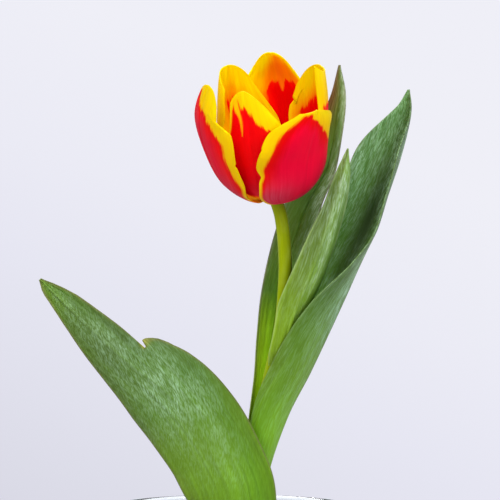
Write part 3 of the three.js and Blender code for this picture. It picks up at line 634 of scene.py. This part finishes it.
def leaf_skin(name, seed, look):
    """Tulip leaf: smooth and fleshy, with fine parallel veins under a blue-grey waxy bloom that is
    worn away in short scratches and patches."""
    made, add = material(name)
    across, along, _ = add("SeparateXYZ", (add("UVMap", uv_map="surface"),)).outputs
    # out and up are the place on the leaf in mm, out from the midrib and up from the base.
    layers = ("edge", "stain", "out", "up")
    edge, stain, out, up = [add("Attribute", attribute_name=layer).outputs["Fac"] for layer in layers]
    flat = add("CombineXYZ", (out, up, seed))
    slant = add("Mapping", {0: flat, "Rotation": (0, 0, radians(look["slant"]))})
    # Veins 1.1 mm apart, scratches in the wax 0.45 mm wide, patches of 3 mm, drifts of 12 mm.
    veins = pattern(add, flat, (1 / 1.1, 1 / 45, 1), Detail=4, Roughness=0.6)
    scratches = pattern(add, slant, (1 / 0.45, 1 / look["stroke"], 1), Detail=3, Distortion=0.6)
    patches = pattern(add, slant, (1 / 3, 1 / 9, 1), Detail=4, Roughness=0.65)
    drifts = pattern(add, flat, (1 / 12, 1 / 26, 1))

    wander = add("MapRange", (drifts, 0.3, 0.7, -0.07, 0.07), clamp=False)
    side = add("Math", (across, wander))
    green = add("ValToRGB", (side,), stops=look["across"])
    lengthways = add("ValToRGB", (along,), stops=look["along"])
    colour = add("Mix", {0: 1.0, 6: green, 7: lengthways}, data_type="RGBA", blend_type="MULTIPLY")

    # The bloom: thick or thin along and across the leaf, broken up by patches and then by scratches.
    wax = add("MapRange", (patches, 0.38, 0.6, 0.55, 1.35))
    heavy = add("MapRange", (drifts, 0.35, 0.62, 0.7, 1.25))
    worn = add("MapRange", (scratches, 0.43, 0.58, 0.4, 1.5))
    thick = add("ValToRGB", (along,), stops=look["wax_along"])
    spread = add("ValToRGB", (side,), stops=look["wax_across"])
    for layer in (heavy, worn, thick, spread):
        wax = add("Math", (wax, layer), operation="MULTIPLY")
    # A thin line along the margin; on the small leaf it is a pale painted highlight.
    rim = add("MapRange", (edge, 0.2, 0.9, look["rim_amount"], 0))
    # The mark: the tear's scar on the left leaf, painted shade on the right and back leaves.
    for share, tint in ((wax, "wax"), (rim, "rim"), (stain, "stain")):
        colour = add("Mix", {0: share, 6: colour, 7: paint(look[tint])}, data_type="RGBA")
    value = add("MapRange", (veins, 0.3, 0.7, 0.8, 1.18))
    rubbed = add("MapRange", (scratches, 0.4, 0.62, 0.9, 1.08))
    value = add("Math", (value, rubbed), operation="MULTIPLY")
    colour = add("HueSaturation", {"Color": colour, "Value": value})

    # Light that comes through it turns yellow-green.
    grown_skin(add, colour, 0.46, 0.14, veins, 0.25, light=paint("#D4F020"), share=look["thin"])
    return made


def stem_skin():
    """Tulip stem: a juicy green stalk with a thin waxy bloom and faint ribs."""
    made, add = material("tulip stem skin")
    place = add("UVMap", uv_map="surface")
    around, along, _ = add("SeparateXYZ", (place,)).outputs
    # Ribs 0.7 mm apart, and patches of wax 3.5 mm wide.
    ribs = pattern(add, place, (26, 9, 1), Detail=3, Roughness=0.55)
    patches = pattern(add, place, (5, 30, 1), Detail=4, Roughness=0.6)
    green = add("ValToRGB", (along,), stops=STEM_BANDS)
    # Painted light and shade: one flank is painted paler, as if lit, and the other darker.
    painted_flank_light = add("ValToRGB", (around,), stops=STEM_PAINTED_LIGHT)
    colour = add("Mix", {0: 1.0, 6: green, 7: painted_flank_light}, data_type="RGBA", blend_type="MULTIPLY")
    wax = add("MapRange", (patches, 0.45, 0.7, 0, 0.1))
    colour = add("Mix", {0: wax, 6: colour, 7: paint("#AEBB60")}, data_type="RGBA")
    value = add("MapRange", (ribs, 0.3, 0.7, 0.88, 1.08))
    colour = add("HueSaturation", {"Color": colour, "Value": value})
    grown_skin(add, colour, 0.5, 0.05, ribs, 0.2, strength=0.7)
    return made


def let_light_by(add, look):
    """The output of a clear solid, which throws almost no shadow, and which soft light passes."""
    path = add("LightPath").outputs
    soft = add("Math", (path["Is Shadow Ray"], path["Is Diffuse Ray"]), operation="MAXIMUM")
    clear = add("BsdfPrincipled", {"Transmission Weight": 1.0, **look})
    passing = add("BsdfTransparent", {"Color": paint("#F4F8F7")})
    add("OutputMaterial", (add("MixShader", (soft, clear, passing)),))


def clear_glass():
    """Soda-lime glass, blown and fire-polished: colourless, very smooth, with faint draw marks."""
    made, add = material("clear soda-lime glass")
    # Draw marks about 25 mm apart round the wall, far too shallow to feel.
    marks = pattern(add, add("TexCoord").outputs["Object"], (40, 40, 14))
    bump = add("Bump", {"Height": marks, "Distance": 0.1 * MM, "Strength": 0.2})
    let_light_by(add, {"Base Color": paint("#F6FBF9"), "Roughness": 0.01, "IOR": 1.5, "Normal": bump})
    return made


def still_water():
    """Tap water: clear, with a mirror-smooth face."""
    made, add = material("still water")
    let_light_by(add, {"Base Color": paint("#F6FAFA"), "Roughness": 0.0, "IOR": 1.333})
    return made


def flower_part(name, light, dark, roughness, grain, depth):
    """A fleshy or powdery part of the pistil and stamens, mottled with a grain in mm."""
    made, add = material(name)
    place = add("TexCoord").outputs["Object"]
    mottle = pattern(add, place, (1 / (grain * MM),) * 3, Detail=3, Roughness=0.6)
    colour = add("ValToRGB", (mottle,), stops=[(0.35, dark), (0.65, light)])
    grown_skin(add, colour, roughness, 0.5, mottle, depth)
    return made


# ---- vase and water ----


def spun(profile, steps):
    """Spins (radius, height) points round Z into a closed skin."""
    mesh = bmesh.new()
    points = [mesh.verts.new((r, 0, z)) for r, z in profile]
    edges = [mesh.edges.new(pair) for pair in zip(points, points[1:])]
    turn = {"cent": (0, 0, 0), "axis": (0, 0, 1), "angle": 2 * pi, "steps": steps}
    bmesh.ops.spin(mesh, geom=points + edges, use_merge=True, **turn)
    bmesh.ops.remove_doubles(mesh, verts=mesh.verts, dist=1e-4)
    bmesh.ops.recalc_face_normals(mesh, faces=mesh.faces)
    return mesh


def arc(centre, radius, start, end, count):
    """Points of a round stretch of a profile, angles in degrees from +radius towards +height."""
    angles = [radians(mix(start, end, i / count)) for i in range(count + 1)]
    return [(centre[0] + radius * cos(a), centre[1] + radius * sin(a)) for a in angles]


def straight(start, end, count):
    """Points between two ends, neither end with them."""
    shares = [(i + 1) / (count + 1) for i in range(count)]
    return [(mix(start[0], end[0], k), mix(start[1], end[1], k)) for k in shares]


def outline(start, bends, end, counts):
    """A profile from start to end round its bends, with runs of so many points between them."""
    profile = [start]
    for bend, count in zip(bends, counts):
        turn = arc(*bend)
        profile += straight(profile[-1], turn[0], count) + turn
    return profile + straight(profile[-1], end, counts[-1]) + [end]


def make_vase():
    radius, height, wall, floor, foot, heel, sides = VASE.values()
    lip, inside = wall / 2, radius - wall
    bends = [
        ((radius - foot, foot), foot, -90, 0, 8),
        ((radius - lip, height - lip), lip, 0, 180, 16),
        ((inside - heel, floor + heel), heel, 0, -90, 12),
    ]
    profile = outline((0, 0), bends, (0, floor), (12, 40, 40, 12))
    finish_piece("glass_vase", spun(profile, sides), "vase", [clear_glass()])


def make_water():
    """The water's surface climbs the glass in a quarter circle."""
    radius, _, wall, floor, _, heel, sides = VASE.values()
    level, rise, into_glass = WATER.values()
    inside, bottom = radius - wall + into_glass, floor - into_glass
    bends = [
        ((inside - heel, bottom + heel), heel, -90, 0, 12),
        ((inside - rise, level + rise), rise, 0, -90, 8),
    ]
    profile = outline((0, bottom), bends, (0, level), (10, 30, 16))
    finish_piece("water", spun(profile, sides), "water", [still_water()])


# ---- stem ----


def stem_line(count):
    """Points at even distances along the middle of the stem."""
    columns = list(zip(*STEM["line"]))
    steps = STEM["steps"]
    fine = [Vector(smooth(column, i / steps) for column in columns) for i in range(steps + 1)]
    reached = [0.0]
    for here, there in zip(fine, fine[1:]):
        reached.append(reached[-1] + (there - here).length)
    line, i = [], 0
    for k in range(count + 1):
        goal = reached[-1] * k / count
        while i < steps - 1 and reached[i + 1] < goal:
            i += 1
        line.append(fine[i].lerp(fine[i + 1], (goal - reached[i]) / (reached[i + 1] - reached[i])))
    return line


def stem_place(line):
    """The stem's skin: across runs once round it, along from the foot to the receptacle."""
    last = len(line) - 1

    def place(across, along):
        i = round(along * last)
        tangent = (line[min(i + 1, last)] - line[max(i - 1, 0)]).normalized()
        right = Vector((0, 1, 0)).cross(tangent).normalized()
        back = tangent.cross(right)
        radius = mix(STEM["foot_radius"], STEM["neck_radius"], along * along)
        angle = pi * across
        radius *= 1 + 0.02 * ripple(1.3 * cos(angle), 22 * along + sin(angle), 3)
        return line[i] + (right * sin(angle) - back * cos(angle)) * radius, {}

    return place


def make_stem():
    """The stalk, with the green cup that the petals stand on, square to the bloom's axis."""
    mesh = sheet(STEM["columns"], STEM["rows"], stem_place(stem_line(STEM["rows"])))
    bmesh.ops.remove_doubles(mesh, verts=mesh.verts, dist=0.01)
    rims = [edge for edge in mesh.edges if edge.is_boundary]
    bmesh.ops.holes_fill(mesh, edges=rims, sides=0)
    bmesh.ops.recalc_face_normals(mesh, faces=mesh.faces)
    join(mesh, spun(RECEPTACLE, 48), BLOOM_FRAME)
    finish_piece("stem", mesh, "stem", [stem_skin()])


# ---- leaves ----


def leaf_shape(stations, margins):
    """The leaf's middle surface in mm, with the way its upper face looks and its half width."""
    columns = [list(column) for column in zip(*stations)]

    def spine(t):
        return Vector(smooth(columns[k], t) for k in range(3))

    def surface(u, t):
        point = spine(t)
        along = (spine(min(t + STEP, 1)) - spine(max(t - STEP, 0))).normalized()
        azimuth = radians(smooth(columns[3], t))
        up = Vector((sin(azimuth), -cos(azimuth), 0))
        up = (up - along * up.dot(along)).normalized()
        right = u > 0
        side = along.cross(up) * (1 if right else -1)
        fold, curl, width = (smooth(columns[k], t) for k in ((7, 8, 9) if right else (4, 5, 6)))
        faults = margins.get("right" if right else "left")
        if faults:
            forward, outward = between(faults, t)
            point += along * (forward * abs(u) ** 14)
            width += outward * u * u
        width = max(width, LEAF["least_width"])
        fold = radians(fold)
        bend = radians(curl) * abs(u)
        chord = sin(bend / 2) / (bend / 2) if bend > 1e-4 else 1
        reach = abs(u) * width * chord
        point += side * (reach * cos(fold + bend / 2)) + up * (reach * sin(fold + bend / 2))
        return point, up, width

    return surface


def make_leaf(name, stations, look, seed):
    length = sum((Vector(b[:3]) - Vector(a[:3])).length for a, b in zip(stations, stations[1:]))
    surface = leaf_shape(stations, MARGINS.get(name, {}))
    far, wide, far_reach, wide_reach = STAINS_AND_SHADES[name]
    rows = round(length / (LEAF["torn_row"] if name == LEAF["torn"] else LEAF["row"]))

    def place(u, t):
        point, up, width = surface(u, t)
        edge = min((1 - abs(u)) * width, (1 - t) * length)
        # Shallow troughs between the veins, a keel along the midrib, and a margin that waves.
        free = ease(0.05, 0.3, t)
        keel = LEAF["keel"] * exp(-((u / 0.05) ** 2))
        troughs = LEAF["troughs"] * ripple(9 * u, 6 * t, seed)
        waves = LEAF["waves"] * u * u * ripple(0.5 * u, 9 * t, seed + 5)
        point += up * (free * (troughs + waves) - keel)
        middle = surface(0, t)[0] + up * CLASP["radius"]
        point = point.lerp(middle, CLASP["draw"] * (1 - ease(0, CLASP["length"], t * length)))
        # The mark's strength: the tear's scar on the left leaf, painted shade on the right and back leaves.
        stain = exp(-(((t - far) / far_reach) ** 2) - ((u - wide) / wide_reach) ** 2)
        return point, {"edge": edge, "stain": stain, "out": u * width, "up": t * length}

    mesh = sheet(LEAF["columns"], rows, place)
    skin = leaf_skin(name.replace("_", " ") + " skin", seed, look)
    thicken(finish_piece(name, mesh, name, [skin]), LEAF, 0)


# ---- bloom ----


def petal_shape(petal):
    """The petal's middle surface in the bloom's frame, in mm, and its half width."""
    radii, heights = zip(*petal["midrib"])

    def half_width(s, t):
        width = smooth(petal["right"] if t > 0 else petal["left"], s)
        if "trims" in petal and t > 0:
            width -= between(petal["trims"], s)[0]
        for side, at, below, above, depth in petal["nicks"]:
            if side * t > 0:
                reach = above if s > at else below
                width -= depth * exp(-(((s - at) / reach) ** 2)) * abs(t) ** 5
        return width

    def surface(s, t):
        right = 1 if t > 0 else 0
        across = abs(t)
        along = s * (1 - petal["fall"][right] * across ** petal["roundness"][right])
        body = smooth(radii, along)
        turn = copysign(across * half_width(s, t), t) / max(body, PETAL["least_radius"])
        angle = radians(petal["azimuth"] + smooth(petal["twist"], along)) + turn
        radius = body + smooth(petal["pull"][right], s) * across * across
        height = smooth(heights, along)
        if t < 0:
            height += petal["rise"] * s**6 * across**3
        return Vector((radius * sin(angle), -radius * cos(angle), height))

    return surface, half_width


def red_depth(edges, s, t, half, length):
    """How far a point lies inside the sides and inside the end of the red, in mm."""
    left, right, tip = edges
    return (smooth(right if t > 0 else left, s) - abs(t)) * half, (smooth(tip, 0.5 + 0.5 * t) - s) * length


def amber_depth(band, s, t, half):
    """How far a point lies inside the amber band, in mm. An even tint has the same depth all over."""
    if not isinstance(band, dict):
        return band
    share = (s - band["start"]) / (1 - band["start"])
    return min(smooth(band["right"], share) - t, smooth(band["left"], share) + t) * half


def bloom_sheen_and_shade_at(patches, s, t):
    """The strength of the pale bloom and painted sheen, up to 1, and of the painted shade where it is below
    0.
    """
    total = sum(k * exp(-(((s - a) / da) ** 2) - ((t - b) / db) ** 2) for a, b, da, db, k in patches)
    return min(total, 1)


def streak_depth(streak, s, t, half):
    """How far a point lies inside the streak, in mm."""
    top, foot = streak["along"][0], streak["along"][-1]
    share = (top - s) / (top - foot)
    if share < 0 or share > 1:
        return OUTSIDE
    return smooth(streak["width"], share) - abs(t - smooth(streak["across"], share)) * half


def make_petal(name, own, seed):
    petal = PETAL | own
    surface, half_width = petal_shape(petal)
    marks = [surface(i / PETAL["steps"], 0) for i in range(PETAL["steps"] + 1)]
    length = sum((b - a).length for a, b in zip(marks, marks[1:]))

    def place(t, s):
        point = surface(s, t)
        along = surface(min(s + STEP, 1), t) - surface(max(s - STEP, 0), t)
        across = surface(s, min(t + STEP, 1)) - surface(s, max(t - STEP, -1))
        normal = across.cross(along).normalized()
        half = half_width(s, t)
        # Low folds that fan out from the base, a groove down the middle, and a margin that waves.
        free = ease(0.15, 0.5, s)
        folds = PETAL["folds"] * ripple(3.2 * t, 1.3 * s, seed)
        groove = PETAL["groove"] * exp(-((t / 0.06) ** 2)) * ease(0.2, 0.5, s)
        waves = PETAL["waves"] * t * t * ripple(0.6 * t, 7 * s, seed + 9)
        point += normal * (free * (folds + waves) - groove)
        values = {"haze": bloom_sheen_and_shade_at(petal["haze"], s, t)}
        values["edge"] = min((1 - abs(t)) * half, (1 - s) * length)
        values["amber"] = amber_depth(petal["amber"], s, t, half)
        for face in ("outer", "inner"):
            edges, streak = petal["red_" + face], petal.get("streak_" + face)
            values["side_" + face], values["tip_" + face] = red_depth(edges, s, t, half, length)
            values["streak_" + face] = streak_depth(streak, s, t, half) if streak else OUTSIDE
        return BLOOM_FRAME @ point, values

    mesh = sheet(PETAL["columns"], PETAL["rows"], place)
    plain = name.replace("_", " ")
    skins = [
        petal_skin(f"{plain}, {face} face", face, seed + 3 * k, length, petal)
        for k, face in enumerate(("outer", "inner"))
    ]
    thicken(finish_piece(name, mesh, name, skins), PETAL, 1)


def make_ovary():
    """The ovary is pinched between its three sides, above the disc."""
    ovary = spun(OVARY, 36)
    for vert in ovary.verts:
        angle = atan2(vert.co.y, vert.co.x) - radians(STIGMA["turn"])
        if vert.co.z > DISC_TOP + 1:
            pinch = 1 - 0.16 * (0.5 - 0.5 * cos(3 * angle))
            vert.co.x *= pinch
            vert.co.y *= pinch
    return ovary


def make_lobe():
    """A lobe of the stigma, which curls down at its end and has a crest across it."""
    lobe = bmesh.new()
    bmesh.ops.create_uvsphere(lobe, u_segments=20, v_segments=14, radius=1)
    for vert in lobe.verts:
        x, y, z = vert.co
        out = 0.5 + 0.5 * x
        crest = 0.35 * cos(9 * x) * (1 - abs(y))
        vert.co = (STIGMA["reach"] * out, y * (1.25 - 0.35 * out), z * 1.1 + crest - 1.5 * out * out + 0.7)
    return lobe


def make_anther():
    """Two pollen sacs, with a furrow either side."""
    anther = spun(ANTHER, 20)
    for vert in anther.verts:
        furrow = 1 - 0.22 * cos(atan2(vert.co.y, vert.co.x)) ** 6
        vert.co.x *= 0.78 * furrow
        vert.co.y *= furrow
    return anther


def make_pistil():
    """The three-sided ovary with its curled stigma lobes, and six stamens round it."""
    whole = bmesh.new()
    join(whole, make_ovary(), Matrix())
    for k in range(STIGMA["lobes"]):
        turn = Matrix.Rotation(radians(STIGMA["turn"] + 360 * k / STIGMA["lobes"]), 4, "Z")
        join(whole, make_lobe(), turn @ Matrix.Translation((0, 0, STIGMA["height"])), 1)
    stand = Matrix.Translation((STAMEN["ring"], 0, DISC_TOP))
    lean = Matrix.Rotation(radians(STAMEN["lean"]), 4, "Y")
    for k in range(STAMEN["count"]):
        turn = Matrix.Rotation(radians(STAMEN["turn"] + 360 * k / STAMEN["count"]), 4, "Z")
        join(whole, spun(FILAMENT, 14), turn @ stand @ lean, 2)
        join(whole, make_anther(), turn @ stand @ lean, 3)
    bmesh.ops.transform(whole, matrix=BLOOM_FRAME, verts=whole.verts)
    materials = [
        flower_part("ovary, fresh green", "#B9C46A", "#9CAF4C", 0.45, 1.2, 0.08),
        flower_part("stigma, downy cream", "#EDE3A4", "#D9C878", 0.8, 0.35, 0.12),
        flower_part("filament, pale yellow", "#E4D86C", "#CDB94A", 0.5, 0.8, 0.05),
        flower_part("anther, dusty purple-black", "#4A3A4C", "#2A2030", 0.85, 0.3, 0.15),
    ]
    finish_piece("pistil_and_stamens", whole, "pistil_and_stamens", materials)


# ---- studio ----


def make_world():
    """A pale backdrop, a little darker below the level of the eye."""
    world = bpy.data.worlds.new("pale studio")
    bpy.context.scene.world = world
    world.use_nodes = True
    world.node_tree.nodes.clear()
    add = partial(put, world.node_tree)
    east, _, up = add("SeparateXYZ", (add("TexCoord").outputs["Generated"],)).outputs
    # The backdrop is a little darker low down on the left.
    tilt = add("Math", (east, 0.5, up), operation="MULTIPLY_ADD")
    sky = add("ValToRGB", (add("MapRange", (tilt, -0.2, 0.2)),), stops=BACKDROP)
    # Matt faces get less of it than the eye does, so that the lamps shape them.
    matt = add("LightPath").outputs["Is Diffuse Ray"]
    strength = add("MapRange", {0: matt, 3: 1.0, 4: 0.72})
    add("OutputWorld", (add("Background", (sky, strength)),))


def make_floor():
    """A matte pale floor that fades into the backdrop."""
    mesh = bmesh.new()
    bmesh.ops.create_circle(mesh, cap_ends=True, segments=96, radius=FLOOR["radius"])
    data = bpy.data.meshes.new("floor")
    mesh.to_mesh(data)
    mesh.free()
    made, add = material("pale floor paint")
    place = add("TexCoord").outputs["Object"]
    distance = add("VectorMath", (place,), operation="LENGTH")
    fade = add("MapRange", (distance, *FLOOR["fade"], 1, 0), interpolation_type="SMOOTHSTEP")
    matte = {"Base Color": paint("#C6C6CC"), "Roughness": 0.7, "Specular IOR Level": 0.2, "Alpha": fade}
    add("OutputMaterial", (add("BsdfPrincipled", matte),))
    data.materials.append(made)
    add_object("floor", data)


def make_light(name, place, size, watts, colour):
    data = bpy.data.lights.new(name, "AREA")
    data.shape = "DISK"
    data.size = size
    data.energy = watts
    data.color = paint(colour)[:3]
    light = add_object(name, data)
    light.location = place
    light.rotation_euler = (Vector(LAMP_AIM) - Vector(place)).to_track_quat("-Z", "Y").to_euler()
    light.visible_camera = False
    light.visible_transmission = False


def make_camera():
    data = bpy.data.cameras.new("camera")
    data.lens = CAMERA["lens"]
    camera = add_object("camera", data)
    camera.location = CAMERA["place"]
    camera.rotation_euler = (radians(90), 0, 0)
    bpy.context.scene.camera = camera


# ---- assembly ----

make_camera()
make_world()
make_floor()
for lamp in LAMPS:
    make_light(*lamp)
make_vase()
make_water()
make_stem()
for number, (leaf_name, leaf_stations) in enumerate(LEAVES.items()):
    make_leaf(leaf_name, leaf_stations, LEAF_TINTS[leaf_name], 3.1 + 2.7 * number)
for number, (petal_name, petal_own) in enumerate(PETALS.items()):
    make_petal(petal_name, petal_own, 1.7 + 1.9 * number)
make_pistil()

bpy.context.scene.view_settings.view_transform = "Standard"
